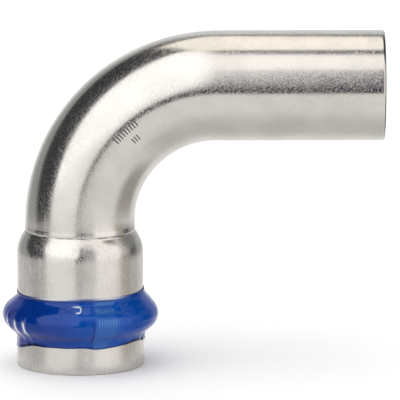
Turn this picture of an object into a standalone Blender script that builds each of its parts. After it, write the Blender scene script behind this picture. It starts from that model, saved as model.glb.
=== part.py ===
"""Press-fit pipe elbow: a 90 degree street elbow for 22 mm stainless steel tube.

The elbow is one bent tube. Its lower end is expanded into a press socket with a V-shaped bead,
its other end is a plain spigot. A rubber ring lies in the groove inside the bead, and a thin
blue film is shrunk over the outside of the bead.

Frame: metres, +Z up. The origin is the middle of the socket's mouth. The socket opens towards -Z,
and the spigot points along +X.
"""

import math

import bmesh
import bpy
from mathutils import Vector

# Driving dimensions, in metres.
TUBE_RADIUS = 0.0110  # 22 mm tube
TUBE_WALL = 0.0015
BEND_RADIUS = 0.0275  # of the centre line, 1.25 tube diameters
BEND_START = 0.0288  # height above the mouth where the bend begins
SPIGOT_END = 0.0608  # distance of the cut end from the socket's axis
BEND_OVALITY = 0.01  # a bent tube gets this much narrower across the bend's plane

SOCKET_RADIUS = 0.0126  # outside, between bead and shoulder
SOCKET_BORE = 0.01115  # 0.15 mm of play around the tube
MOUTH_RADIUS = 0.01278  # outside, below the bead
SHOULDER_LOW = 0.0246  # where the socket's wall line meets the shoulder's cone
SHOULDER_ROUND = 0.0065
STOP_LOW = 0.0243  # the same corner inside, where the cone stops the tube
STOP_ROUND = 0.0050
CREASE_HEIGHT = 0.0272  # the die leaves a fine line around the top of the shoulder
CREASE_RADIUS = 0.01112
CREASE_BLEND = 0.0011  # from the crease to the tube's own radius

BEAD_HEIGHT = 0.0103  # of the bead's ridge above the mouth
BEAD_RADIUS = 0.0152  # the ridge's outside
BEAD_ROUND = 0.0026  # rounding of the ridge
BEAD_SLOPE = math.radians(50)  # of the bead's flanks, from the socket's axis
BEAD_FOOT_ROUND = 0.0010
GROOVE_RADIUS = 0.01395  # the bead's inside, where the seal ring lies
GROOVE_ROUND = 0.0014

EDGE_ROUND = 0.0003  # deburred edges
SPIGOT_ROUND = 0.00055  # the spigot's outer edge, which enters the next socket
GUIDE_ROUND = 0.0005  # the mouth's inner edge, which guides the tube in

SEAL_INNER_RADIUS = 0.0111
SEAL_SECTION = 0.0025  # diameter of the rubber cord

FILM_GAP = 0.0003
FILM_THICKNESS = 0.00015
FILM_LOW = 0.0046
FILM_HIGH = 0.0152

AROUND = 40  # corners of every round section
SEAL_SIDES = 10
BEND_STEPS = 14
ARC_STEP = math.radians(22)  # a rounded corner has at least one step for each such angle

SHARP_ANGLE = math.radians(35)
QUARTER_TURN = math.pi / 2


def clear_scene():
    for thing in list(bpy.data.objects):
        bpy.data.objects.remove(thing)


def make_material(name, colour, metallic, roughness):
    material = bpy.data.materials.new(name)
    material.use_nodes = True
    shader = material.node_tree.nodes["Principled BSDF"]
    shader.inputs["Base Color"].default_value = (*colour, 1.0)
    shader.inputs["Metallic"].default_value = metallic
    shader.inputs["Roughness"].default_value = roughness
    return material


def rounded_corner(before, corner, after, radius):
    """The arc of this radius that replaces a corner of an outline. Points are (along, radius) pairs."""
    arm_in = (Vector(before) - Vector(corner)).normalized()
    arm_out = (Vector(after) - Vector(corner)).normalized()
    turn = math.pi - arm_in.angle(arm_out)
    if radius == 0 or turn < math.radians(1):
        return [tuple(corner)]
    setback = radius * math.tan(turn / 2)
    middle = Vector(corner) + (arm_in + arm_out).normalized() * radius / math.cos(turn / 2)
    spoke = Vector(corner) + arm_in * setback - middle
    side = 1 if arm_in.x * arm_out.y - arm_in.y * arm_out.x < 0 else -1
    steps = max(1, math.ceil(turn / ARC_STEP))
    arc = []
    for step in range(steps + 1):
        angle = side * turn * step / steps
        along = spoke.x * math.cos(angle) - spoke.y * math.sin(angle)
        across = spoke.x * math.sin(angle) + spoke.y * math.cos(angle)
        arc.append((middle.x + along, middle.y + across))
    return arc


def rounded_outline(corners):
    """A closed outline from corners (along, radius, rounding), in order."""
    outline = []
    for number, (along, radius, rounding) in enumerate(corners):
        before = corners[number - 1][:2]
        after = corners[(number + 1) % len(corners)][:2]
        outline += rounded_corner(before, (along, radius), after, rounding)
    return outline


def bead_corners(low_radius, high_radius, ridge_radius, ridge_round, foot_round):
    """The three corners of a bead, from its lower foot over the ridge to its upper foot."""
    tip = ridge_radius + ridge_round * (1 / math.cos(BEAD_SLOPE) - 1)
    low_foot = BEAD_HEIGHT - (tip - low_radius) / math.tan(BEAD_SLOPE)
    high_foot = BEAD_HEIGHT + (tip - high_radius) / math.tan(BEAD_SLOPE)
    return [
        (low_foot, low_radius, foot_round),
        (BEAD_HEIGHT, tip, ridge_round),
        (high_foot, high_radius, foot_round),
    ]


def bend_length():
    return BEND_RADIUS * QUARTER_TURN


def path_length():
    return BEND_START + bend_length() + SPIGOT_END - BEND_RADIUS


def centre_line(along):
    """The point at this distance from the mouth, and the bend's angle there."""
    if along <= BEND_START:
        return Vector((0, 0, along)), 0.0
    angle = min((along - BEND_START) / BEND_RADIUS, QUARTER_TURN)
    straight = max(0.0, along - BEND_START - bend_length())
    x = BEND_RADIUS * (1 - math.cos(angle)) + straight
    z = BEND_START + BEND_RADIUS * math.sin(angle)
    return Vector((x, 0, z)), angle


def bend_share(along):
    """0 on the straight stretches and 1 in the bend, with a smooth change at both of its ends."""
    into = (along - BEND_START) / BEND_RADIUS
    out_of = QUARTER_TURN - into
    share = max(0.0, min(1.0, 0.5 + 2 * min(into, out_of)))
    return share * share * (3 - 2 * share)


def add_ring(bm, along, radius):
    """A ring of corners around the centre line, square to it."""
    middle, angle = centre_line(along)
    outward = Vector((-math.cos(angle), 0, math.sin(angle)))
    sideways = Vector((0, 1, 0))
    squeeze = BEND_OVALITY * bend_share(along)
    ring = []
    for corner in range(AROUND):
        turn = 2 * math.pi * corner / AROUND
        across = outward * math.cos(turn) * (1 - squeeze)
        beside = sideways * math.sin(turn) * (1 + squeeze / 2)
        ring.append(bm.verts.new(middle + (across + beside) * radius))
    return ring


def skin_rings(bm, rings):
    """Faces between each ring and the next, and from the last ring to the first."""
    for number, ring in enumerate(rings):
        following = rings[(number + 1) % len(rings)]
        for corner in range(len(ring)):
            neighbour = (corner + 1) % len(ring)
            bm.faces.new((ring[corner], ring[neighbour], following[neighbour], following[corner]))


def finish_object(name, bm, material):
    bmesh.ops.recalc_face_normals(bm, faces=bm.faces)
    mesh = bpy.data.meshes.new(name)
    bm.to_mesh(mesh)
    bm.free()
    mesh.shade_smooth()
    mesh.set_sharp_from_angle(angle=SHARP_ANGLE)
    mesh.materials.append(material)
    piece = bpy.data.objects.new(name, mesh)
    bpy.context.scene.collection.objects.link(piece)
    return piece


def make_piece(name, outline, material):
    """A closed body whose outline of (along, radius) points is carried around the centre line."""
    bm = bmesh.new()
    skin_rings(bm, [add_ring(bm, along, radius) for along, radius in outline])
    return finish_object(name, bm, material)


def bend_stretch(radius):
    """Outline points through the bend, as sharp corners."""
    corners = []
    for step in range(BEND_STEPS + 1):
        corners.append((BEND_START + bend_length() * step / BEND_STEPS, radius, 0))
    return corners


def body_outside():
    return [
        (0, MOUTH_RADIUS, EDGE_ROUND),
        *bead_corners(MOUTH_RADIUS, SOCKET_RADIUS, BEAD_RADIUS, BEAD_ROUND, BEAD_FOOT_ROUND),
        (SHOULDER_LOW, SOCKET_RADIUS, SHOULDER_ROUND),
        (CREASE_HEIGHT, CREASE_RADIUS, 0),
        (CREASE_HEIGHT + CREASE_BLEND, TUBE_RADIUS, 0),
        *bend_stretch(TUBE_RADIUS),
        (path_length(), TUBE_RADIUS, SPIGOT_ROUND),
    ]


def body_inside():
    """The bore, from the spigot's end back to the socket's mouth."""
    bore = TUBE_RADIUS - TUBE_WALL
    groove = bead_corners(SOCKET_BORE, SOCKET_BORE, GROOVE_RADIUS, GROOVE_ROUND, BEAD_FOOT_ROUND)
    return [
        (path_length(), bore, EDGE_ROUND),
        *reversed(bend_stretch(bore)),
        (CREASE_HEIGHT, bore, 0),
        (STOP_LOW, SOCKET_BORE, STOP_ROUND),
        *reversed(groove),
        (0, SOCKET_BORE, GUIDE_ROUND),
    ]


def make_elbow_body():
    steel = make_material("stainless_steel", (0.66, 0.64, 0.61), metallic=1.0, roughness=0.3)
    return make_piece("elbow_body", rounded_outline(body_outside() + body_inside()), steel)


def make_seal_ring():
    rubber = make_material("black_rubber", (0.02, 0.02, 0.02), metallic=0.0, roughness=0.5)
    half = SEAL_SECTION / 2
    outline = []
    for side in range(SEAL_SIDES):
        turn = 2 * math.pi * side / SEAL_SIDES
        along = BEAD_HEIGHT + half * math.sin(turn)
        outline.append((along, SEAL_INNER_RADIUS + half + half * math.cos(turn)))
    return make_piece("seal_ring", outline, rubber)


def film_side(offset):
    """The film's corners on a surface this far outside the steel, from its low edge to its high one."""
    bead = bead_corners(
        MOUTH_RADIUS + offset,
        SOCKET_RADIUS + offset,
        BEAD_RADIUS + offset,
        BEAD_ROUND + offset,
        BEAD_FOOT_ROUND - offset,
    )
    return [
        (FILM_LOW, MOUTH_RADIUS + offset, 0),
        *bead,
        (FILM_HIGH, SOCKET_RADIUS + offset, 0),
    ]


def make_indicator_film():
    blue_film = make_material("blue_film", (0.02, 0.10, 0.45), metallic=0.0, roughness=0.15)
    inside = film_side(FILM_GAP)
    outside = film_side(FILM_GAP + FILM_THICKNESS)
    outline = rounded_outline(outside + list(reversed(inside)))
    return make_piece("indicator_film", outline, blue_film)


def main():
    clear_scene()
    make_elbow_body()
    make_seal_ring()
    make_indicator_film()


main()
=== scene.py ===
"""The looks of the press-fit pipe elbow: satin stainless steel, black seal ring, blue shrink film.

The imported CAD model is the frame. Every piece is rebuilt here as a fine mesh in the same place,
with a node-based material, and rides on the one body of the model. The studio that the steel
mirrors is painted on the sky, by directions around the part.
All lengths are in metres unless a name says otherwise.
"""

import math

import bmesh
import bpy
import numpy as np
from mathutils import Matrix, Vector, noise


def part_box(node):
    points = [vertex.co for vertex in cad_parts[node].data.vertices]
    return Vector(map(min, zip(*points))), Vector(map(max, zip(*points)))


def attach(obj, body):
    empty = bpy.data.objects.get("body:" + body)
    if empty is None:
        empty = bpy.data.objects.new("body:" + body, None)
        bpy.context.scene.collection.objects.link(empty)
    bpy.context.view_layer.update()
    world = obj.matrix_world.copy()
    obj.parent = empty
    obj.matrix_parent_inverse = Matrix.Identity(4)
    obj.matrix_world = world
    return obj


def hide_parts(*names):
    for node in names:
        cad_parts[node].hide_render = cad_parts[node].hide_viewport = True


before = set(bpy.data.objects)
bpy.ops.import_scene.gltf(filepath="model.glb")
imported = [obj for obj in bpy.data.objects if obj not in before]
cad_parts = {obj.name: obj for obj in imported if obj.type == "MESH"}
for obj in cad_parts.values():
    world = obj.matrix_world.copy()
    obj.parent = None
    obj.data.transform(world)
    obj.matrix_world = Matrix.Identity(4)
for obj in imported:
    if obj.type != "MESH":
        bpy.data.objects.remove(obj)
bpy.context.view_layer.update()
BODY_LOW, BODY_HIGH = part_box("elbow_body")
FILM_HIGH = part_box("indicator_film")[1]
SEAL_LOW, SEAL_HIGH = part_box("seal_ring")

MM = 0.001

# The tube and its path: up from the mouth, round the bend, out along +X.
TUBE_RADIUS = 11.0 * MM
TUBE_BORE = 9.5 * MM
BEND_RADIUS = 27.5 * MM
SPIGOT_END = BODY_HIGH.x
BEND_START = BODY_HIGH.z - TUBE_RADIUS - BEND_RADIUS
BEND_LENGTH = BEND_RADIUS * math.pi / 2
PATH_LENGTH = BEND_START + BEND_LENGTH + SPIGOT_END - BEND_RADIUS
BEND_OVALITY = 0.01
BEND_WAVE = 0.02 * MM  # a bent tube is never quite even
BEND_WAVE_LENGTH = 9 * MM  # along the tube, for each radian of the wave

# The socket, from its mouth up to the shoulder.
SOCKET_RADIUS = 12.6 * MM
SOCKET_BORE = 11.15 * MM
MOUTH_RADIUS = 12.78 * MM
BEAD_HEIGHT = (SEAL_LOW.z + SEAL_HIGH.z) / 2
BEAD_RADIUS = 15.2 * MM
BEAD_ROUND = 2.6 * MM
BEAD_SLOPE = math.radians(50)
FOOT_ROUND = 1.0 * MM
GROOVE_RADIUS = 13.95 * MM
GROOVE_ROUND = 1.4 * MM
SHOULDER_LOW = 24.6 * MM
SHOULDER_ROUND = 6.5 * MM
STOP_LOW = 24.3 * MM
STOP_ROUND = 5.0 * MM
CREASE_HEIGHT = 27.2 * MM
CREASE_RADIUS = 11.12 * MM
CREASE_BLEND = 1.1 * MM
CREASE_ROUND = 0.15 * MM
CREASE_DEPTH = 0.08 * MM  # of the fine groove that the die leaves
CREASE_WIDTH = 0.16 * MM
CREASE_WAVES = [(0.12, 1, 0.6), (0.05, 3, 0)]  # of the groove's height: size in mm, number in a turn, phase
TUBE_FOOT_ROUND = 2.0 * MM
CONE_TOP_ROUND = 4.0 * MM
EDGE_ROUND = 0.3 * MM
SPIGOT_ROUND = 0.55 * MM
GUIDE_ROUND = 0.5 * MM

# The film: a sheet wound once around the bead, with its ends lapped and sealed. Angles around it
# are 0 at the front and grow towards +X.
FILM_THICKNESS = 0.06 * MM
FILM_RADIUS = FILM_HIGH.y  # over the bead
FILM_CLEARANCE = 0.07 * MM
FILM_RIDGE_ROUND = 3.0 * MM
FILM_FOOT_ROUND = 2.2 * MM
PROFILE_LOW = 2 * MM  # the film's outline starts below its lower edge and ends above its upper one
PROFILE_HIGH = 18 * MM
SEAM_ANGLE = math.radians(11)  # of the sheet's free end
SEAM_LAP = math.radians(21)
LAP_STEP = 1.6 * FILM_THICKNESS  # how far the lap's upper layer stands off

# The film's edges: heights in mm, and waves of them as (size in mm, number in a turn, phase).
LOW_EDGE = 4.6
LOW_EDGE_WAVES = [(0.45, 1, math.pi / 2), (0.3, 1, 0), (0.45, 2, math.pi / 2), (0.08, 7, 1), (0.05, 13, 0)]
LOW_EDGE_BULGES = [(0.5, -42, 22), (-0.3, 13, 10)]  # height in mm, angle and width in degrees
LOW_EDGE_RISE = 0.85  # at the right
LOW_EDGE_RISE_FROM = (20, 70)  # degrees
LOW_EDGE_RISE_TO = (100, 160)
HIGH_EDGE = 15.30
HIGH_EDGE_WAVES = [(0.2, 1, 0), (0.06, 3, 2)]

# How the shrunken film stands off its even shape. Waves: how many fit in a radian, and in a millimetre up.
SWELL = 0.07 * MM
SWELL_WAVES = (2.2, 0.12)
RIPPLE = 0.10 * MM  # below the bead
RIPPLE_WAVES = (9, 0.25)
RIPPLE_FADE = (5.5 * MM, 9 * MM)
CRUMPLE = 0.15 * MM  # of the lower edge, at the right
CRUMPLE_WAVES = (16, 0.7)
CRUMPLE_FADE = (6 * MM, 8.5 * MM)
CRUMPLE_PLACE = (72, 16)  # angle and width in degrees
HEM_ROLL = 0.08 * MM  # both edges have shrunk into a thin roll
HEM_ROLL_PLACE = (0.1 * MM, 0.28 * MM)  # distance from the edge, and width
BRIDGE = 0.55 * MM  # at the right the film spans the hollow above the bead
BRIDGE_PLACE = (13.9 * MM, 1.0 * MM)  # height and width
BRIDGE_FROM = (20, 38)  # degrees
PLEATS = [(-67, 2.0, 0.16), (-55, 2.4, 0.20), (-45, 2.2, 0.20)]  # angle and width in degrees, height in mm
PLEAT_LOW = (5 * MM, 8 * MM)
PLEAT_HIGH = (10.5 * MM, 13 * MM)
BLISTER = 0.07 * MM
BLISTER_SLOPE = (0.2 * MM, 0.9 * MM)
BLISTER_ANGLE = math.radians(0)
BLISTER_HEIGHT = 13.4 * MM

# The sealed lap: fine upright ridges, milky streaks and bands of painted highlight. Waves as (size, number
# in a streak, phase).
LAP_STREAKS = 16
LAP_RIDGE = 0.012 * MM
LAP_RIDGE_WAVES = [(1, 1, 0), (0.6, 0.61, 1)]
LAP_RIDGE_SIDES = ((0.02, 0.1), (0.8, 1))  # shares of the lap where the ridges set in and end
HAZE_WAVES = [(0.22, 1, 0), (0.16, 0.61, 1), (0.12, 1.7, 2)]
HAZE_SIDES = ((0.06, 0.2), (0.75, 1.1))
HAZE_LEAN = 0.036 / MM  # share of the lap for each length below the ridge
HAZE_LOW = 0.48  # below the ridge
HAZE_LOW_FADE = (9.5 * MM, 11.5 * MM)
# bands of painted highlight round the lap
HAZE_HIGHLIGHT_BANDS = [(11.1, 0.7, 1.0), (13.1, 0.45, 0.8), (14.4, 0.38, 0.9)]  # height and width in mm, strength

# Dark places of the film: its rolled hems, partly the doubled film's colour and partly painted shade, and
# painted shade at the lap's free end and in the folds between the pleats.
HIGH_HEM = (0.42 * MM, 0.16 * MM)  # distance from the edge, and width
LOW_HEM = (0.08 * MM, 0.16 * MM)
WIDE_HEM = (0.25 * MM, 0.38 * MM)
WIDE_HEM_PLACES = [(-50, 14), (66, 18)]  # angle and width in degrees
FREE_END_WIDTH = 0.05 * SEAM_LAP
FREE_END_FADE = (10 * MM, 11.5 * MM)
DARK_FOLDS = [(-61, 11.6, 0.35), (-50, 11.8, 0.15), (-73, 10.5, 0.15)]  # angle, height and width in mm
DARK_FOLD_LENGTH = 0.75 * MM

# Painted highlights of the film, in white: on the pleats, the blister's rim and the upper cut.
WHITE_PLEAT_WIDTH = 0.45  # of a pleat's width
WHITE_PLEAT_LOW = (7.2 * MM, 8.2 * MM)
WHITE_PLEAT_HIGH = (9.8 * MM, 11 * MM)
BLISTER_REACH = 0.50 * MM
BLISTER_LENGTH = 2.0 * MM
BLISTER_LOW_LENGTH = 0.45 * BLISTER_LENGTH
BLISTER_RIM = 0.10 * MM
CUT_WIDTH = 0.24 * MM
CUT_PLACES = [(-22, 17.19), (28, 13.75)]  # angle and width in degrees

# The etched mark: rows of plain bars on the front of the bend. Lengths in mm, angles in degrees.
MARK_ROWS = [(-93.5, 48.8, 9), (-106.5, 51.4, 3)]  # angle around the tube, start along it, bars
MARK_PITCH = 0.68
MARK_BAR_SHARE = 0.42
MARK_HEIGHT = 7.0
MARK_STRENGTH = 0.85

# The steel's surface. Lengths in mm.
HAIR_START = 30.0  # along the tube, where the polishing strokes begin to slant
HAIR_TWIST = -0.10  # radians per millimetre along the tube
HAIR_STRETCH = (1, 1, 0.3)
DRAWN_STRETCH = (1, 1, 0.10)
GRAIN_DEPTH = 0.0078 * MM
# a darker band of the steel at the spigot's cut end
DARK_END_BAND = (0.33, 0.16)  # before the spigot's end
# how far the painted shade reaches from the crease, in mm
CREASE_SHADE_REACH = (0.20, 0.08)
STEEL_CLEAN = (0.67, 0.655, 0.635, 1)
STEEL_DULL = (0.62, 0.605, 0.585, 1)
# the darker band at the spigot's cut end
STEEL_END_DARK = (0.22, 0.21, 0.21, 1)
# painted shade in the crease
STEEL_CREASE_SHADE = (0.10, 0.085, 0.07, 1)
STEEL_ETCHED = (0.03, 0.03, 0.03, 1)
BORE_ROUGHNESS = 0.5
MATT_ROUGHNESS = 0.22  # added on the matt strokes and specks
SOCKET_ROUGHNESS = 0.06  # added on the socket

RUBBER_BLACK = (0.012, 0.012, 0.013, 1)
RUBBER_BLOOM = (0.03, 0.03, 0.032, 1)

FILM_DEEP = (0.0002, 0.028, 0.215, 1)
# paler blue, partly the dye's tone and partly painted light on the film's right side
FILM_PALE_AND_LIT = (0.0002, 0.068, 0.385, 1)
# the milky lap, with the painted highlights on it
FILM_HAZE_AND_HIGHLIGHT = (0.075, 0.23, 0.50, 1)
FILM_DARK = (0.004, 0.004, 0.045, 1)
# white of the painted highlights
FILM_HIGHLIGHT_WHITE = (0.78, 0.84, 0.86, 1)
FILM_EDGE_TINT = (0.05, 0.25, 0.80, 1)
FILM_GLOSS_IOR = 1.38

# Fineness of the meshes.
BODY_AROUND = 192
FILM_COLUMNS = 560
LAP_COLUMNS = 130
FILM_ROWS = 64
SEAL_AROUND = 144
SEAL_SIDES = 24
ARC_STEP = math.radians(4)
LENGTH_STEP = 0.8 * MM

# The camera.
CAMERA_DISTANCE = 0.9
CAMERA_ELEVATION = math.radians(9.57)
CAMERA_ROLL = math.radians(-0.13)
CAMERA_AIM = Vector((24.03 * MM, 5.44 * MM, 32.25 * MM))
SENSOR_WIDTH = 36.0
LENS = 402.6

# What the part mirrors. Each panel: its corners as (azimuth, elevation), the softness of its edges
# in degrees, and its light. Later panels cover earlier ones.
ROOM_LIGHT = (0.045, 0.047, 0.052)
WARM_WHITE = (1.50, 1.42, 1.28)
BACK_WALL = (0.86, 0.86, 0.85)
ROOM_PANELS = [
    # grey right-hand side of the room
    ([(70, -14), (70, 28), (120, 30), (150, 28), (150, -14)], 10, (0.27, 0.27, 0.265)),
    # walls behind, dimmer towards both sides
    ([(-96, -14), (-140, 30), (-165, 42), (180, 43), (180, -14)], 8, (0.42, 0.42, 0.41)),
    ([(128, -14), (134, 12), (150, 34), (180, 42), (180, -14)], 10, (0.56, 0.56, 0.55)),
    ([(-138, -14), (-148, 5), (-160, 28), (180, 40), (164, 36), (158, 10), (156, -14)], 14, BACK_WALL),
    # dim light in the gap between the ceiling light and the lights in front
    ([(-3, 66), (-12, 87), (90, 87), (60, 66)], 5, (0.12, 0.12, 0.125)),
    # ceiling light, behind and above
    ([(-152, 48.5), (-118, 76.5), (-59, 83.4), (59, 83.4), (112, 74), (180, 45)], 3, WARM_WHITE),
    # wall light at the front right, dimmer at its far end
    ([(40, -14), (40, 36), (88, 38), (103, 27), (98, -14)], 11, (0.66, 0.635, 0.61)),
    ([(29, -14), (78, -14), (92, 37), (50, 46), (27, 50)], 6, (1.35, 1.28, 1.24)),
    # tall light at the front left, leaning over the part
    ([(-66, -14), (-74, 30), (-88, 52), (-110, 73), (-62, 84), (4, 74), (6, -14)], 4, (1.65, 1.62, 1.58)),
    ([(-64, -14), (-66, 4), (4, 4), (4, -14)], 14, (1.22, 1.18, 1.15)),
    # its right wing, above the camera
    ([(0, 22), (-4, 72.5), (60, 68), (60, 30)], 5, (1.38, 1.32, 1.24)),
    # the table's far part
    ([(-80, -14), (-80, -5), (80, -5), (80, -14)], 2, (0.95, 0.93, 0.91)),
    # the camera and whoever stands behind it
    ([(3, -14), (5, 46), (29, 48), (29, -14)], 6, (0.80, 0.80, 0.80)),
    ([(3, -14), (4, 30), (29, 31), (29, -14)], 9, (0.43, 0.43, 0.45)),
    ([(5, -14), (5, -7), (29, -7), (29, -14)], 4, (0.64, 0.63, 0.63)),
    ([(-4, -14), (1.7, 40), (7, 40), (7, -14)], 2.5, (0.14, 0.14, 0.155)),
    ([(-6, -14), (-7.5, -5), (-2, 6), (2, 15), (6, 15), (6, -14)], 3, (0.06, 0.06, 0.075)),
    ([(-6, -14), (-9, -3), (0, 2), (6, 1), (6, -14)], 2, (0.015, 0.015, 0.015)),
    # something dark at the right
    ([(107, -8), (108, 9), (124, 9), (126, -8)], 9, (0.09, 0.09, 0.09)),
    # something brown beside it
    ([(83, -14), (84, -2), (104, -1), (106, -14)], 7, (0.36, 0.305, 0.225)),
]
TABLE_EDGE = -9.4  # elevation
TABLE_EDGE_BLUR = 0.006
TABLE_LIGHT = (0.96, 0.94, 0.91)
TABLE_PATCHES = [
    ([(-66, -9), (-66, -40), (-150, -40), (-150, -9)], 5, (0.69, 0.68, 0.66)),
    ([(79, -9), (79, -11), (106, -11), (106, -9)], 3, (0.36, 0.305, 0.225)),
    ([(27, -9), (27, -13), (68, -13), (68, -9)], 4, (1.10, 1.06, 1.03)),
    ([(81, -14), (81, -46), (134, -46), (134, -14)], 20, (0.44, 0.42, 0.385)),
    ([(50, -50), (50, -72), (140, -72), (140, -50)], 20, (0.58, 0.57, 0.54)),
    ([(0, -52), (90, -52), (180, -52), (-90, -52)], 40, (0.72, 0.71, 0.68)),
]

# The two lamps. Where they are: azimuth and elevation. Their widths are in degrees too.
KEY_FROM = (-60, 60)
KEY_WIDTH = 80
KEY_STRENGTH = 1.35
BACK_FROM = (175, 42)
BACK_WIDTH = 60
BACK_STRENGTH = 0.75
DOME_STRENGTH = 0.67  # of the even light that falls on what isn't a mirror

FLOOR_SIZE = 8
FLOOR_SEEN = (0.90, 0.90, 0.90, 1)
FLOOR_MIRRORED = (0.84, 0.83, 0.81, 1)
FLOOR_NEAR = 18 * MM  # the part mirrors the floor itself only up to here
FLOOR_FAR = 23 * MM


# ---------------------------------------------------------------- outlines


def rounded_corner(before, corner, after, radius):
    """The arc that replaces a corner of an outline. Points are (along, radius) pairs."""
    arm_in = (Vector(before) - Vector(corner)).normalized()
    arm_out = (Vector(after) - Vector(corner)).normalized()
    turn = math.pi - arm_in.angle(arm_out)
    if radius == 0 or turn < math.radians(1):
        return [tuple(corner)]
    middle = Vector(corner) + (arm_in + arm_out).normalized() * radius / math.cos(turn / 2)
    spoke = Vector(corner) + arm_in * radius * math.tan(turn / 2) - middle
    side = 1 if arm_in.x * arm_out.y - arm_in.y * arm_out.x < 0 else -1
    steps = max(2, math.ceil(turn / ARC_STEP))
    arc = []
    for step in range(steps + 1):
        angle = side * turn * step / steps
        along = spoke.x * math.cos(angle) - spoke.y * math.sin(angle)
        across = spoke.x * math.sin(angle) + spoke.y * math.cos(angle)
        arc.append((middle.x + along, middle.y + across))
    return arc


def rounded_outline(corners, closed=True):
    """An outline from corners (along, radius, rounding), in order."""
    outline = []
    for number, (along, radius, rounding) in enumerate(corners):
        at_end = number in (0, len(corners) - 1)
        if at_end and not closed:
            outline.append((along, radius))
            continue
        before = corners[number - 1][:2]
        after = corners[(number + 1) % len(corners)][:2]
        outline += rounded_corner(before, (along, radius), after, rounding)
    return outline


def with_even_steps(outline, closed=True):
    """The outline with extra points, so that no straight stretch is longer than LENGTH_STEP."""
    points = []
    last = len(outline) if closed else len(outline) - 1
    for number in range(last):
        start = Vector(outline[number])
        end = Vector(outline[(number + 1) % len(outline)])
        steps = max(1, math.ceil((end - start).length / LENGTH_STEP))
        for step in range(steps):
            points.append(tuple(start.lerp(end, step / steps)))
    if not closed:
        points.append(tuple(outline[-1]))
    return points


def bead_corners(low_radius, high_radius, ridge_radius, ridge_round, foot_round):
    """The three corners of a bead, from its lower foot over the ridge to its upper foot."""
    tip = ridge_radius + ridge_round * (1 / math.cos(BEAD_SLOPE) - 1)
    low_foot = BEAD_HEIGHT - (tip - low_radius) / math.tan(BEAD_SLOPE)
    high_foot = BEAD_HEIGHT + (tip - high_radius) / math.tan(BEAD_SLOPE)
    return [
        (low_foot, low_radius, foot_round),
        (BEAD_HEIGHT, tip, ridge_round),
        (high_foot, high_radius, foot_round),
    ]


# ---------------------------------------------------------------- the swept meshes


def centre_line(along):
    """Points on the tube's centre line, and the bend's angle there, for an array of distances."""
    angle = np.clip((along - BEND_START) / BEND_RADIUS, 0, math.pi / 2)
    beyond = np.clip(along - BEND_START - BEND_LENGTH, 0, None)
    x = BEND_RADIUS * (1 - np.cos(angle)) + beyond
    z = np.minimum(along, BEND_START) + BEND_RADIUS * np.sin(angle)
    return x, z, angle


def bend_share(along):
    """0 on the straight stretches and 1 in the bend, with a smooth change at both of its ends."""
    into = (along - BEND_START) / BEND_RADIUS
    out_of = math.pi / 2 - into
    share = np.clip(0.5 + 2 * np.minimum(into, out_of), 0, 1)
    return share * share * (3 - 2 * share)


def place(along, turn, radius):
    """World places of points on the tube. turn is 0 on the bend's outer side and grows towards +Y."""
    x, z, angle = centre_line(along)
    squeeze = BEND_OVALITY * bend_share(along)
    outward = radius * np.cos(turn) * (1 - squeeze)
    sideways = radius * np.sin(turn) * (1 + squeeze / 2)
    return np.stack([x - outward * np.cos(angle), sideways, z + outward * np.sin(angle)], axis=-1)


def grid_faces(rows, columns, wrap_rows, wrap_columns):
    """Quads of a grid of vertices that is stored row by row."""
    row = np.arange(rows if wrap_rows else rows - 1)
    column = np.arange(columns if wrap_columns else columns - 1)
    row, column = np.meshgrid(row, column, indexing="ij")
    next_row = (row + 1) % rows
    next_column = (column + 1) % columns
    quads = np.stack(
        [
            row * columns + column,
            row * columns + next_column,
            next_row * columns + next_column,
            next_row * columns + column,
        ],
        axis=-1,
    )
    return quads.reshape(-1, 4)


def mesh_object(name, places, faces, unbent, material):
    """A smooth mesh object. Its attribute "unbent" is each point's place, in mm, on the unbent tube."""
    mesh = bpy.data.meshes.new(name)
    mesh.from_pydata(places.reshape(-1, 3).tolist(), [], faces.tolist())
    attribute = mesh.attributes.new("unbent", "FLOAT_VECTOR", "POINT")
    attribute.data.foreach_set("vector", (unbent / MM).astype(np.float32).ravel())
    edit = bmesh.new()
    edit.from_mesh(mesh)
    bmesh.ops.recalc_face_normals(edit, faces=edit.faces)
    edit.to_mesh(mesh)
    edit.free()
    mesh.shade_smooth()
    mesh.materials.append(material)
    piece = bpy.data.objects.new(name, mesh)
    bpy.context.scene.collection.objects.link(piece)
    return piece


def swept_object(name, outline, around, dent, material):
    """A closed body whose outline is carried around the tube's centre line. dent moves its surface."""
    along = np.array([point[0] for point in outline])[:, None]
    radius = np.array([point[1] for point in outline])[:, None]
    turn = np.linspace(0, 2 * math.pi, around, endpoint=False)[None, :]
    along, radius, turn = np.broadcast_arrays(along, radius, turn)
    radius = radius + dent(along, radius, turn)
    places = place(along, turn, radius)
    unbent = np.stack([radius * np.cos(turn), radius * np.sin(turn), along], axis=-1)
    faces = grid_faces(len(outline), around, True, True)
    return mesh_object(name, places, faces, unbent, material)


# ---------------------------------------------------------------- materials


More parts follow.
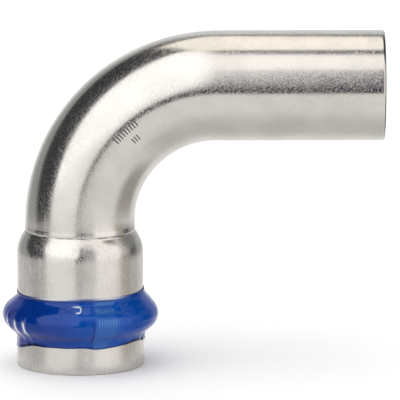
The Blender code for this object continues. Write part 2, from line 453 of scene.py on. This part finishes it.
class Nodes:
    """Short names for making and linking the nodes of one tree."""

    def __init__(self, tree):
        self.tree = tree
        tree.nodes.clear()

    def link(self, source, target):
        if isinstance(source, (int, float, tuple)):
            target.default_value = source
        else:
            self.tree.links.new(source, target)

    def node(self, kind, inputs=(), **settings):
        made = self.tree.nodes.new(kind)
        for name, value in settings.items():
            setattr(made, name, value)
        for name, source in dict(inputs).items():
            self.link(source, made.inputs[name])
        return made

    def math(self, operation, first, second=0.0, third=0.0):
        inputs = {0: first, 1: second, 2: third}
        return self.node("ShaderNodeMath", inputs, operation=operation).outputs[0]

    def ramp(self, value, low, high, to_low=0.0, to_high=1.0):
        """A smooth change from to_low to to_high while the value goes from low to high."""
        inputs = {"Value": value, "From Min": low, "From Max": high, "To Min": to_low, "To Max": to_high}
        return self.node("ShaderNodeMapRange", inputs, interpolation_type="SMOOTHSTEP").outputs["Result"]

    def mix(self, share, first, second):
        """A mix of two colours."""
        made = self.node("ShaderNodeMix", data_type="RGBA")
        self.link(share, made.inputs["Factor"])
        self.link(first, made.inputs["A"])
        self.link(second, made.inputs["B"])
        return made.outputs["Result"]

    def unbent(self, scale=(1, 1, 1)):
        """The point's place in mm on the straightened tube, stretched by scale."""
        source = self.node("ShaderNodeAttribute", attribute_name="unbent").outputs["Vector"]
        return self.node("ShaderNodeVectorMath", {0: source, 1: scale}, operation="MULTIPLY").outputs[0]

    def attribute(self, name):
        """A value that a mesh carries for each of its points."""
        return self.node("ShaderNodeAttribute", attribute_name=name).outputs["Fac"]

    def noise(self, vector, scale=1.0, detail=3.0, roughness=0.5):
        inputs = {"Vector": vector, "Scale": scale, "Detail": detail, "Roughness": roughness}
        return self.node("ShaderNodeTexNoise", inputs).outputs["Fac"]

    def bump(self, height, distance, strength=1.0):
        inputs = {"Height": height, "Distance": distance, "Strength": strength}
        return self.node("ShaderNodeBump", inputs).outputs["Normal"]


def new_material(name):
    material = bpy.data.materials.new(name)
    material.use_nodes = True
    nodes = Nodes(material.node_tree)
    shader = nodes.node("ShaderNodeBsdfPrincipled")
    output = nodes.node("ShaderNodeOutputMaterial")
    nodes.link(shader.outputs[0], output.inputs[0])
    return material, nodes, shader


def hair_lines(nodes):
    """Coordinates in which noise shows the short slanted strokes that polishing leaves on the tube."""
    along = nodes.node("ShaderNodeSeparateXYZ", {0: nodes.unbent()}).outputs[2]
    beyond_socket = nodes.math("MAXIMUM", nodes.math("SUBTRACT", along, HAIR_START), 0.0)
    twist = nodes.math("MULTIPLY", beyond_socket, HAIR_TWIST)
    inputs = {"Vector": nodes.unbent(), "Angle": twist}
    turned = nodes.node("ShaderNodeVectorRotate", inputs, rotation_type="Z_AXIS").outputs[0]
    return nodes.node("ShaderNodeVectorMath", {0: turned, 1: HAIR_STRETCH}, operation="MULTIPLY").outputs[0]


def mark_row(nodes, angle, along, row):
    """1 on the bars of one row of the etched mark, else 0."""
    row_angle, start, bars = row
    reach = bars * MARK_PITCH
    in_row = nodes.math("COMPARE", angle, math.radians(row_angle), math.radians(MARK_HEIGHT / 2))
    in_length = nodes.math("COMPARE", along, start + reach / 2, reach / 2)
    steps = nodes.math("FRACT", nodes.math("DIVIDE", nodes.math("SUBTRACT", along, start), MARK_PITCH))
    on_bar = nodes.math("LESS_THAN", steps, MARK_BAR_SHARE)
    return nodes.math("MULTIPLY", nodes.math("MULTIPLY", in_row, in_length), on_bar)


def steel_grain(nodes, place_mm, on_tube):
    """Fine noise: drawn lines on the socket, slanted hairs on the tube, and specks on both."""
    hairs = nodes.noise(hair_lines(nodes), scale=7.0, detail=2.0, roughness=0.7)
    drawn = nodes.noise(nodes.unbent(DRAWN_STRETCH), scale=4.5, detail=2.0, roughness=0.7)
    specks = nodes.noise(place_mm, scale=6.5, detail=2.0, roughness=0.7)
    lines = nodes.math("MULTIPLY_ADD", on_tube, nodes.math("SUBTRACT", hairs, drawn), drawn)
    return nodes.math("ADD", nodes.math("MULTIPLY", lines, 0.48), nodes.math("MULTIPLY", specks, 0.52))


def steel_colour(nodes, blotches, across, beside, along, radius):
    """The steel's tone, darker at the spigot's cut edge and on the etched mark, with painted shade in the
    crease.
    """
    colour = nodes.mix(nodes.ramp(blotches, 0.35, 0.65), STEEL_CLEAN, STEEL_DULL)

    # a darker band at the spigot's cut end
    near_end = nodes.ramp(along, PATH_LENGTH / MM - DARK_END_BAND[0], PATH_LENGTH / MM - DARK_END_BAND[1])
    outer_edge = nodes.ramp(radius, TUBE_RADIUS / MM - 0.5, TUBE_RADIUS / MM - 0.3)
    colour = nodes.mix(nodes.math("MULTIPLY", near_end, outer_edge), colour, STEEL_END_DARK)

    # painted shade in the crease, in patches
    patches = nodes.noise(nodes.unbent(HAIR_STRETCH), scale=0.35, detail=2.0)
    patchy_shade = nodes.ramp(patches, 0.38, 0.62, 0.1, 0.75)
    from_crease = nodes.math("ABSOLUTE", nodes.math("SUBTRACT", along, CREASE_HEIGHT / MM))
    in_crease = nodes.ramp(from_crease, *CREASE_SHADE_REACH)
    colour = nodes.mix(nodes.math("MULTIPLY", in_crease, patchy_shade), colour, STEEL_CREASE_SHADE)

    angle = nodes.math("ARCTAN2", beside, across)
    etched = nodes.math("MAXIMUM", *[mark_row(nodes, angle, along, row) for row in MARK_ROWS])
    return nodes.mix(nodes.math("MULTIPLY", etched, MARK_STRENGTH), colour, STEEL_ETCHED)


def steel_material():
    """Pickled and lightly polished stainless steel: matt strokes and specks in a smooth satin surface."""
    material, nodes, shader = new_material("satin_stainless_steel")
    place_mm = nodes.unbent()
    across, beside, along = nodes.node("ShaderNodeSeparateXYZ", {0: place_mm}).outputs
    squares = nodes.math("MULTIPLY_ADD", across, across, nodes.math("MULTIPLY", beside, beside))
    radius = nodes.math("SQRT", squares)
    on_tube = nodes.ramp(along, CREASE_HEIGHT / MM, CREASE_HEIGHT / MM + 5.0)
    blotches = nodes.noise(place_mm, scale=0.16, detail=3.0)
    grain = steel_grain(nodes, place_mm, on_tube)
    nodes.link(steel_colour(nodes, blotches, across, beside, along, radius), shader.inputs["Base Color"])

    rough = nodes.ramp(blotches, 0.3, 0.7, 0.10, 0.14)
    rough = nodes.math("ADD", rough, nodes.ramp(on_tube, 0.0, 1.0, SOCKET_ROUGHNESS, 0.0))
    matt = nodes.ramp(grain, 0.48, 0.58)
    rough = nodes.math("ADD", rough, nodes.math("MULTIPLY", matt, MATT_ROUGHNESS))
    unpolished = nodes.ramp(radius, TUBE_BORE / MM + 0.9, TUBE_BORE / MM + 0.5)
    rough = nodes.math("MAXIMUM", rough, nodes.math("MULTIPLY", unpolished, BORE_ROUGHNESS))
    nodes.link(rough, shader.inputs["Roughness"])
    shader.inputs["Metallic"].default_value = 1.0

    worked = nodes.ramp(on_tube, 0.0, 1.0, 0.5, 1.0)
    nodes.link(nodes.bump(grain, GRAIN_DEPTH, worked), shader.inputs["Normal"])
    return material


def rubber_material():
    """Matt black EPDM rubber with faint mould bloom."""
    material, nodes, shader = new_material("black_epdm_rubber")
    bloom = nodes.noise(nodes.unbent(), scale=1.2, detail=4.0)
    colour = nodes.mix(nodes.ramp(bloom, 0.4, 0.7), RUBBER_BLACK, RUBBER_BLOOM)
    nodes.link(colour, shader.inputs["Base Color"])
    nodes.link(nodes.ramp(bloom, 0.3, 0.7, 0.42, 0.6), shader.inputs["Roughness"])
    nodes.link(nodes.bump(nodes.noise(nodes.unbent(), scale=6.0), 0.004 * MM), shader.inputs["Normal"])
    return material


def film_material():
    """Blue shrink film tight over steel: the dye lit by what the steel mirrors, under a clear gloss."""
    material, nodes, shader = new_material("blue_shrink_film")
    place_mm = nodes.unbent()
    side = nodes.node("ShaderNodeSeparateXYZ", {0: place_mm}).outputs[0]
    # random clouds in the dye's tone, plus painted light that makes the film lighter towards +X
    tone_and_side_light = nodes.math("MULTIPLY_ADD", nodes.noise(place_mm, scale=0.22, detail=3.0), 10.0, side)
    colour = nodes.mix(nodes.ramp(tone_and_side_light, -5.0, 13.0), FILM_DEEP, FILM_PALE_AND_LIT)
    # the milky lap and its painted highlights
    colour = nodes.mix(nodes.attribute("haze_and_highlights"), colour, FILM_HAZE_AND_HIGHLIGHT)
    colour = nodes.mix(nodes.attribute("shade"), colour, FILM_DARK)
    # painted highlights, white on the pleats, the blister's rim and the upper cut
    painted_highlight = nodes.attribute("painted_highlight")
    colour = nodes.mix(painted_highlight, colour, FILM_HIGHLIGHT_WHITE)
    nodes.link(colour, shader.inputs["Base Color"])
    nodes.link(nodes.math("MULTIPLY_ADD", painted_highlight, -0.3, 0.3), shader.inputs["Metallic"])
    nodes.link(nodes.ramp(tone_and_side_light, -5.0, 13.0, 0.30, 0.42), shader.inputs["Roughness"])
    shader.inputs["Specular IOR Level"].default_value = 0.0
    shader.inputs["Specular Tint"].default_value = FILM_EDGE_TINT
    shader.inputs["Coat Weight"].default_value = 1.0
    shader.inputs["Coat Roughness"].default_value = 0.025
    shader.inputs["Coat IOR"].default_value = FILM_GLOSS_IOR
    ripple = nodes.noise(nodes.unbent((1, 1, 0.7)), scale=0.6, detail=2.0)
    normal = nodes.bump(ripple, 0.05 * MM)
    nodes.link(normal, shader.inputs["Normal"])
    nodes.link(normal, shader.inputs["Coat Normal"])
    return material


# ---------------------------------------------------------------- shapes of unevenness


def smooth_step(value, low, high):
    share = np.clip((value - low) / (high - low), 0, 1)
    return share * share * (3 - 2 * share)


def smooth_fall(value, low, high):
    return 1 - smooth_step(value, low, high)


def hump(value, middle, width):
    return np.exp(-(((value - middle) / width) ** 2))


def turned_step(angle, low, high):
    """A smooth step between two angles in degrees."""
    return smooth_step(angle, math.radians(low), math.radians(high))


def turned_hump(angle, middle, width):
    """A hump at an angle in degrees."""
    return hump(angle, math.radians(middle), math.radians(width))


def waves(phase, rows):
    """A sum of sine waves. Each row is a wave's size, its number and its shift."""
    return sum(size * np.sin(number * phase + shift) for size, number, shift in rows)


def wrapped(angle):
    """The same direction as an angle between minus and plus half a turn."""
    return (angle + math.pi) % (2 * math.pi) - math.pi


# ---------------------------------------------------------------- the elbow body


def body_outside():
    return [
        (0, MOUTH_RADIUS, EDGE_ROUND),
        *bead_corners(MOUTH_RADIUS, SOCKET_RADIUS, BEAD_RADIUS, BEAD_ROUND, FOOT_ROUND),
        (SHOULDER_LOW, SOCKET_RADIUS, SHOULDER_ROUND),
        (CREASE_HEIGHT, CREASE_RADIUS, CREASE_ROUND),
        (CREASE_HEIGHT + CREASE_BLEND, TUBE_RADIUS, TUBE_FOOT_ROUND),
        (PATH_LENGTH, TUBE_RADIUS, SPIGOT_ROUND),
    ]


def body_inside():
    """The bore, from the spigot's end back to the socket's mouth."""
    groove = bead_corners(SOCKET_BORE, SOCKET_BORE, GROOVE_RADIUS, GROOVE_ROUND, FOOT_ROUND)
    return [
        (PATH_LENGTH, TUBE_BORE, EDGE_ROUND),
        (CREASE_HEIGHT, TUBE_BORE, CONE_TOP_ROUND),
        (STOP_LOW, SOCKET_BORE, STOP_ROUND),
        *reversed(groove),
        (0, SOCKET_BORE, GUIDE_ROUND),
    ]


def body_dents(along, radius, turn):
    """Slight unevenness of a formed tube, and the fine groove that the die leaves around the crease."""
    groove_height = CREASE_HEIGHT + waves(turn, CREASE_WAVES) * MM
    groove = -CREASE_DEPTH * hump(along, groove_height, CREASE_WIDTH)
    outside = radius > (TUBE_BORE + TUBE_RADIUS) / 2
    unevenness = BEND_WAVE * np.sin(2 * turn + along / BEND_WAVE_LENGTH) * bend_share(along)
    return np.where(outside, groove + unevenness, 0.0)


def make_elbow_body(material):
    outline = with_even_steps(rounded_outline(body_outside() + body_inside()))
    return swept_object("elbow_body_steel", outline, BODY_AROUND, body_dents, material)


# ---------------------------------------------------------------- the seal ring


def no_dents(along, radius, turn):
    return np.zeros_like(radius)


def make_seal_ring(material):
    """A ring of round section, as wide as the one in the CAD model."""
    half = (SEAL_HIGH.z - SEAL_LOW.z) / 2
    middle = SEAL_HIGH.x - half
    outline = []
    for side in range(SEAL_SIDES):
        turn = 2 * math.pi * side / SEAL_SIDES
        outline.append((BEAD_HEIGHT + half * math.sin(turn), middle + half * math.cos(turn)))
    return swept_object("seal_ring_rubber", outline, SEAL_AROUND, no_dents, material)


# ---------------------------------------------------------------- the film


def film_profile():
    """Heights and radii of the film over the bead, from below its lower edge to above its upper edge."""
    ridge = FILM_RADIUS - FILM_CLEARANCE
    low_foot, tip, high_foot = bead_corners(MOUTH_RADIUS, SOCKET_RADIUS, ridge, FILM_RIDGE_ROUND, FOOT_ROUND)
    low_foot = (*low_foot[:2], FILM_FOOT_ROUND)
    corners = [(PROFILE_LOW, MOUTH_RADIUS, 0), low_foot, tip, high_foot, (PROFILE_HIGH, SOCKET_RADIUS, 0)]
    outline = np.array(with_even_steps(rounded_outline(corners, closed=False), closed=False))
    return outline[:, 0], outline[:, 1]


def film_edges(angle):
    """Heights of the film's lower and upper edge."""
    low = LOW_EDGE + waves(angle, LOW_EDGE_WAVES)
    turned = wrapped(angle)
    at_right = turned_step(turned, *LOW_EDGE_RISE_FROM) * (1 - turned_step(turned, *LOW_EDGE_RISE_TO))
    low += LOW_EDGE_RISE * at_right
    for size, middle, width in LOW_EDGE_BULGES:
        low += size * turned_hump(turned, middle, width)
    high = HIGH_EDGE + waves(angle, HIGH_EDGE_WAVES)
    return low * MM, high * MM


def noise_around(angle, height, around_and_up, seed):
    """Smooth noise on the film. around_and_up is how many waves fit in a radian and in a millimetre."""
    around, up = around_and_up
    values = np.empty(angle.size)
    for index, (turn, level) in enumerate(zip(angle.ravel(), height.ravel() / MM)):
        spot = Vector((math.cos(turn) * around, math.sin(turn) * around, level * up + seed))
        values[index] = noise.noise(spot)
    return values.reshape(angle.shape)


def film_wrinkles(angle, height, edge_distance):
    """How far the shrunken film stands off its even shape."""
    stand_off = SWELL * noise_around(angle, height, SWELL_WAVES, 0)
    stand_off += HEM_ROLL * hump(edge_distance, *HEM_ROLL_PLACE)
    stand_off += RIPPLE * noise_around(angle, height, RIPPLE_WAVES, 7) * smooth_fall(height, *RIPPLE_FADE)
    for middle, width, size in PLEATS:
        reach = smooth_step(height, *PLEAT_LOW) * smooth_fall(height, *PLEAT_HIGH)
        stand_off += size * MM * turned_hump(angle, middle, width) * reach
    blister_distance = np.hypot((angle - BLISTER_ANGLE) * FILM_RADIUS, height - BLISTER_HEIGHT)
    stand_off += BLISTER * smooth_fall(blister_distance, *BLISTER_SLOPE)
    stand_off += BRIDGE * hump(height, *BRIDGE_PLACE) * turned_step(angle, *BRIDGE_FROM)
    crumpled = turned_hump(angle, *CRUMPLE_PLACE) * smooth_fall(height, *CRUMPLE_FADE)
    stand_off += CRUMPLE * noise_around(angle, height, CRUMPLE_WAVES, 3) * crumpled
    return stand_off


def across_lap(lap, sides):
    """1 inside the lap and 0 beyond its sides. lap runs from 0 at the free end to 1 at its far side."""
    near_side, far_side = sides
    return smooth_step(lap, *near_side) * smooth_fall(lap, *far_side)


def lap_ridges(lap):
    """Fine upright ridges of the sealed lap."""
    phase = 2 * math.pi * LAP_STREAKS * lap
    return LAP_RIDGE * across_lap(lap, LAP_RIDGE_SIDES) * waves(phase, LAP_RIDGE_WAVES)


def make_indicator_film(material):
    """The sheet, as a grid: its columns go once around the bead and on through the lap."""
    heights, radii = film_profile()
    lengths = np.concatenate([[0], np.cumsum(np.hypot(np.diff(heights), np.diff(radii)))])
    in_lap = np.linspace(0, SEAM_LAP, LAP_COLUMNS, endpoint=False)
    beyond = np.linspace(SEAM_LAP, 2 * math.pi + SEAM_LAP, FILM_COLUMNS)
    wound = np.concatenate([in_lap, beyond])[None, :]
    share = np.linspace(0, 1, FILM_ROWS)[:, None]
    angle = SEAM_ANGLE + wound
    low, high = film_edges(angle)
    low_length = np.interp(low, heights, lengths)
    high_length = np.interp(high, heights, lengths)
    length = low_length + (high_length - low_length) * share
    above_low = length - low_length
    below_high = high_length - length
    height = np.interp(length, lengths, heights)
    radius = np.interp(length, lengths, radii) + FILM_CLEARANCE
    wound, angle = np.broadcast_arrays(wound, wrapped(angle), length)[:2]
    radius = radius + film_wrinkles(angle, height, np.minimum(above_low, below_high))
    radius = radius + LAP_STEP * smooth_fall(wound, SEAM_LAP, 1.4 * SEAM_LAP)
    radius = radius + lap_ridges(np.clip(wound / SEAM_LAP, 0, 1))
    sheet = np.stack([radius * np.sin(angle), -radius * np.cos(angle), height], axis=-1)
    faces = grid_faces(*angle.shape, False, False)
    piece = mesh_object("indicator_film_sheet", sheet, faces, sheet, material)
    add_marks(piece, "haze_and_highlights", lap_haze_and_highlights(wound, height))
    add_marks(piece, "shade", fold_shade(wound, angle, height, above_low, below_high))
    add_marks(piece, "painted_highlight", painted_highlight_marks(angle, height, below_high))
    solid = piece.modifiers.new("thickness", "SOLIDIFY")
    solid.thickness = FILM_THICKNESS
    solid.offset = -1
    return piece


def add_marks(piece, name, values):
    attribute = piece.data.attributes.new(name, "FLOAT", "POINT")
    attribute.data.foreach_set("value", values.astype(np.float32).ravel())


def lap_haze_and_highlights(wound, height):
    """How milky the sealed lap is, in fine upright streaks that lean towards the free end below, with bands
    of painted highlight at given heights.
    """
    lap = wound / SEAM_LAP - HAZE_LEAN * (height - BEAD_HEIGHT) * (height < BEAD_HEIGHT)
    streaks = 0.5 + waves(2 * math.pi * LAP_STREAKS * lap, HAZE_WAVES)
    strength = HAZE_LOW * smooth_fall(height, *HAZE_LOW_FADE)
    for middle, width, size in HAZE_HIGHLIGHT_BANDS:
        strength = strength + size * hump(height, middle * MM, width * MM)
    return across_lap(lap, HAZE_SIDES) * np.clip(strength, 0, 1) * (0.12 + 1.5 * streaks ** 2)


def fold_shade(wound, angle, height, above_low, below_high):
    """Where the film is dark: at its hems, partly the doubled film's colour and partly painted shade, and
    with painted shade at the lap's free end and between the pleats.
    """
    uneven = 0.5 + 0.5 * np.sin(5 * angle + 2) * np.sin(11 * angle)
    shade = hump(below_high, *HIGH_HEM) * (0.35 + 0.65 * uneven)
    shade += hump(above_low, *LOW_HEM) * (0.45 + 0.55 * uneven)
    wide = sum(turned_hump(angle, *place) for place in WIDE_HEM_PLACES)
    shade += hump(above_low, *WIDE_HEM) * np.clip(1.4 * wide, 0, 1)
    # painted shade along the lap's free end
    shade += 0.7 * hump(wound, 0.0, FREE_END_WIDTH) * smooth_fall(height, *FREE_END_FADE)
    # painted shade in the folds between the pleats
    for middle, level, width in DARK_FOLDS:
        across = (angle - math.radians(middle)) * FILM_RADIUS
        shade += hump(across, 0, width * MM) * hump(height, level * MM, DARK_FOLD_LENGTH)
    return np.clip(shade, 0, 1)


def painted_highlight_marks(angle, height, below_high):
    """Painted highlights in white on the film: on the pleats, at the rim of the blister, and along its upper
    cut.
    """
    marks = np.zeros(angle.shape)
    for middle, width, _ in PLEATS:
        reach = smooth_step(height, *WHITE_PLEAT_LOW) * smooth_fall(height, *WHITE_PLEAT_HIGH)
        marks += turned_hump(angle, middle, WHITE_PLEAT_WIDTH * width) * reach
    across = (angle - BLISTER_ANGLE) * FILM_RADIUS
    arm_length = np.where(height > BLISTER_HEIGHT, BLISTER_LENGTH, BLISTER_LOW_LENGTH)
    beyond = np.clip(-across / arm_length, 0, 1)
    distance = np.hypot(np.maximum(across, 0), height - BLISTER_HEIGHT)
    marks += 1.2 * hump(distance, BLISTER_REACH, BLISTER_RIM) * smooth_fall(beyond, 0, 1)
    cut = 1.3 * hump(below_high, 0, CUT_WIDTH)
    marks += cut * sum(turned_hump(angle, *place) for place in CUT_PLACES)
    return np.clip(marks, 0, 1)


# ---------------------------------------------------------------- studio


def direction(azimuth, elevation):
    """The unit vector towards a place in the studio, in degrees. Azimuth 0 is the front, 90 is +X."""
    turn = math.radians(azimuth)
    height = math.radians(elevation)
    return Vector((math.sin(turn) * math.cos(height), -math.cos(turn) * math.cos(height), math.sin(height)))


def paint_panel(nodes, view, colour, corners, softness, radiance):
    """Paints one straight-edged panel over the colour. Its corners are (azimuth, elevation), in order."""
    inside = 1.0
    ring = [direction(*corner) for corner in corners]
    middle = sum(ring, Vector()).normalized()
    for number, corner in enumerate(ring):
        edge = corner.cross(ring[(number + 1) % len(ring)]).normalized()
        if edge.dot(middle) < 0:
            edge = -edge
        near = nodes.node("ShaderNodeVectorMath", {0: view, 1: tuple(edge)}, operation="DOT_PRODUCT")
        half = math.sin(math.radians(softness) / 2)
        inside = nodes.math("MULTIPLY", nodes.ramp(near.outputs["Value"], -half, half), inside)
    return nodes.mix(inside, colour, (*radiance, 1))


def make_world():
    """The studio, painted on the sky that mirrors show. The camera itself sees plain white."""
    world = bpy.data.worlds.new("studio")
    world.use_nodes = True
    bpy.context.scene.world = world
    nodes = Nodes(world.node_tree)
    view = nodes.node("ShaderNodeTexCoord").outputs["Generated"]
    colour = (*ROOM_LIGHT, 1)
    for corners, softness, radiance in ROOM_PANELS:
        colour = paint_panel(nodes, view, colour, corners, softness, radiance)
    height = nodes.node("ShaderNodeSeparateXYZ", {0: view}).outputs[2]
    edge = math.sin(math.radians(TABLE_EDGE))
    below = nodes.ramp(height, edge + TABLE_EDGE_BLUR, edge - TABLE_EDGE_BLUR)
    colour = nodes.mix(below, colour, (*TABLE_LIGHT, 1))
    for corners, softness, radiance in TABLE_PATCHES:
        colour = paint_panel(nodes, view, colour, corners, softness, radiance)
    mirrored = nodes.node("ShaderNodeBackground", {"Color": colour, "Strength": 1.0})
    dome = nodes.node("ShaderNodeBackground", {"Color": (1, 1, 1, 1), "Strength": DOME_STRENGTH})
    white = nodes.node("ShaderNodeBackground", {"Color": (1, 1, 1, 1), "Strength": 1.0})
    ray = nodes.node("ShaderNodeLightPath").outputs
    inputs = {0: ray["Is Diffuse Ray"], 1: mirrored.outputs[0], 2: dome.outputs[0]}
    lit = nodes.node("ShaderNodeMixShader", inputs)
    inputs = {0: ray["Is Camera Ray"], 1: lit.outputs[0], 2: white.outputs[0]}
    seen = nodes.node("ShaderNodeMixShader", inputs)
    output = nodes.node("ShaderNodeOutputWorld")
    nodes.link(seen.outputs[0], output.inputs["Surface"])


def make_floor():
    """A pale floor. Further away than FLOOR_FAR, what the part mirrors is painted on the sky instead."""
    bpy.ops.mesh.primitive_plane_add(size=FLOOR_SIZE, location=(0, 0, BODY_LOW.z))
    floor = bpy.context.object
    floor.name = "floor"
    material, nodes, shader = new_material("pale_floor")
    ray = nodes.node("ShaderNodeLightPath").outputs
    nodes.link(nodes.mix(ray["Is Glossy Ray"], FLOOR_SEEN, FLOOR_MIRRORED), shader.inputs["Base Color"])
    shader.inputs["Roughness"].default_value = 1.0
    shader.inputs["Specular IOR Level"].default_value = 0.0
    spot = nodes.node("ShaderNodeTexCoord").outputs["Object"]
    distance = nodes.node("ShaderNodeVectorMath", {0: spot}, operation="LENGTH").outputs["Value"]
    far = nodes.ramp(distance, FLOOR_NEAR, FLOOR_FAR)
    hidden = nodes.math("MULTIPLY", far, ray["Is Glossy Ray"])
    clear = nodes.node("ShaderNodeBsdfTransparent")
    output = nodes.tree.nodes["Material Output"]
    shown = nodes.node("ShaderNodeMixShader", {0: hidden, 1: shader.outputs[0], 2: clear.outputs[0]})
    nodes.link(shown.outputs[0], output.inputs["Surface"])
    floor.data.materials.append(material)


def make_light(name, place_in_studio, width, strength):
    """A wide soft light. The shadows that it throws on the floor lie on its far side."""
    light = bpy.data.lights.new(name, "SUN")
    light.energy = strength
    light.angle = math.radians(width)
    lamp = bpy.data.objects.new(name, light)
    bpy.context.scene.collection.objects.link(lamp)
    lamp.rotation_euler = direction(*place_in_studio).to_track_quat("Z", "Y").to_euler()
    lamp.visible_glossy = False


def make_camera():
    camera = bpy.data.objects.new("camera", bpy.data.cameras.new("camera"))
    bpy.context.scene.collection.objects.link(camera)
    camera.data.sensor_width = SENSOR_WIDTH
    camera.data.lens = LENS
    back = direction(0, math.degrees(CAMERA_ELEVATION))
    camera.location = CAMERA_AIM + back * CAMERA_DISTANCE
    camera.rotation_euler = (math.pi / 2 - CAMERA_ELEVATION, 0, 0)
    camera.rotation_euler.rotate_axis("Z", CAMERA_ROLL)
    bpy.context.scene.camera = camera


def finish_piece(piece, node):
    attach(piece, "root")
    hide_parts(node)


def main():
    bpy.context.scene.view_settings.view_transform = "Standard"
    make_camera()
    make_world()
    make_floor()
    make_light("key_light", KEY_FROM, KEY_WIDTH, KEY_STRENGTH)
    make_light("back_light", BACK_FROM, BACK_WIDTH, BACK_STRENGTH)
    finish_piece(make_elbow_body(steel_material()), "elbow_body")
    finish_piece(make_seal_ring(rubber_material()), "seal_ring")
    finish_piece(make_indicator_film(film_material()), "indicator_film")


main()
